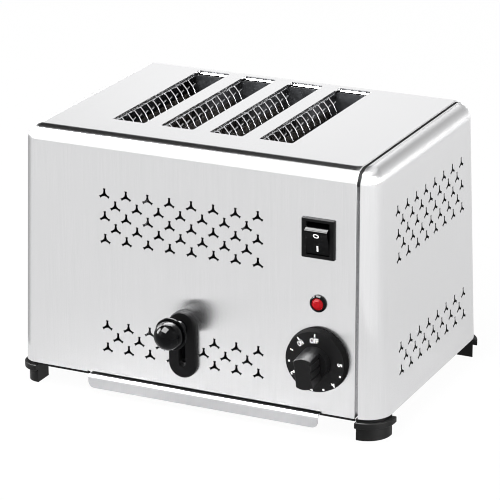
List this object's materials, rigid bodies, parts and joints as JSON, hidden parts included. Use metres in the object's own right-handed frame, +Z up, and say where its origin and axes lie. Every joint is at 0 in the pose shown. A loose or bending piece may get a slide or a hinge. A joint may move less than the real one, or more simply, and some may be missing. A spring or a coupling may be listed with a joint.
{
  "type": "toaster",
  "caption": "Box-shaped stainless toaster with long bread slots on top, a side lever, star-shaped vents, rocker switch, timer dial and pull-out crumb tray.",
  "frame": {"origin": "centre of the overall footprint on the surface it stands on", "axes": "+X to the control side seen from the front, +Y towards the back, +Z up"},
  "size_m": [0.3056, 0.252, 0.2075],
  "materials": {
    "brushed_shell": "vertical brushed grain",
    "tray_steel": "satin rolled",
    "galvanised_sheet": "dull mill sheet",
    "zinc_screw": "zinc plated",
    "bright_wire": "bright drawn wire",
    "brass_bush": "turned",
    "dark_iron": "dark laminated",
    "foot_plastic": "moulded satin",
    "satin_black": "moulded satin",
    "knob_black": "moulded satin",
    "gloss_black": "polished",
    "red_lens": "clear red, faceted",
    "mica_board": "pressed mica",
    "heater_alloy": "oxidised ribbon",
    "terminal_white": "moulded"
  },
  "bodies": {
    "root": {"base_plate": "galvanised_sheet", "bread_guard_1": "bright_wire", "bread_guard_2": "bright_wire", "bread_guard_3": "bright_wire", "bread_guard_4": "bright_wire", "cable_gland": "satin_black", "chamber_front_plate": "galvanised_sheet", "chamber_rear_plate": "galvanised_sheet", "foot_left_front": "foot_plastic", "foot_left_rear": "foot_plastic", "foot_nuts": "zinc_screw", "foot_right_front": "foot_plastic", "foot_right_rear": "foot_plastic", "foot_screws": "zinc_screw", "gland_nut": "satin_black", "guide_rods": "bright_wire", "heater_board_1": "mica_board", "heater_board_2": "mica_board", "heater_board_3": "mica_board", "heater_board_4": "mica_board", "heater_board_5": "mica_board", "heater_ribbon_1": "heater_alloy", "heater_ribbon_2": "heater_alloy", "heater_ribbon_3": "heater_alloy", "heater_ribbon_4": "heater_alloy", "heater_ribbon_5": "heater_alloy", "hold_magnet": "dark_iron", "lamp_bezel": "gloss_black", "lamp_lens": "red_lens", "lamp_nut": "satin_black", "left_heat_shield": "galvanised_sheet", "lever_escutcheon": "satin_black", "main_shell": "brushed_shell", "right_end_cover": "brushed_shell", "right_heat_shield": "galvanised_sheet", "rocker_housing": "satin_black", "rod_brackets": "galvanised_sheet", "terminal_block": "terminal_white", "terminal_screws": "brass_bush", "timer_body": "galvanised_sheet", "timer_screws": "zinc_screw", "tray_rails": "galvanised_sheet"},
    "lever": {"lever_rod": "zinc_screw", "lever_ball": "gloss_black", "carriage_plate": "galvanised_sheet", "carriage_bushes": "brass_bush", "armature_plate": "dark_iron", "lift_springs": "bright_wire", "bread_rack_1": "bright_wire", "bread_rack_2": "bright_wire", "bread_rack_3": "bright_wire", "bread_rack_4": "bright_wire"},
    "dial": {"timer_shaft": "zinc_screw", "timer_knob": "knob_black"},
    "tray": {"crumb_tray": "tray_steel"},
    "rocker": {"rocker_paddle": "gloss_black"}
  },
  "joints": [
    {"name": "lever_slide", "type": "slide", "parent": "root", "child": "lever", "axis": [0, 0, -1], "range_m": [0, 0.0281], "stiffness_N_per_m": 200, "springref_m": -0.04, "deforming": ["lift_springs"]},
    {"name": "dial_turn", "type": "hinge", "parent": "root", "child": "dial", "pos_m": [0.0996, -0.094, 0.0594], "axis": [0, 1, 0], "range_deg": [0, 272]},
    {"name": "tray_slide", "type": "slide", "parent": "root", "child": "tray", "axis": [0, -1, 0], "range_m": [0, 0.14]},
    {"name": "rocker_swing", "type": "hinge", "parent": "root", "child": "rocker", "pos_m": [0.0996, -0.08525, 0.1527], "axis": [-1, 0, 0], "range_deg": [0, 30]}
  ]
}
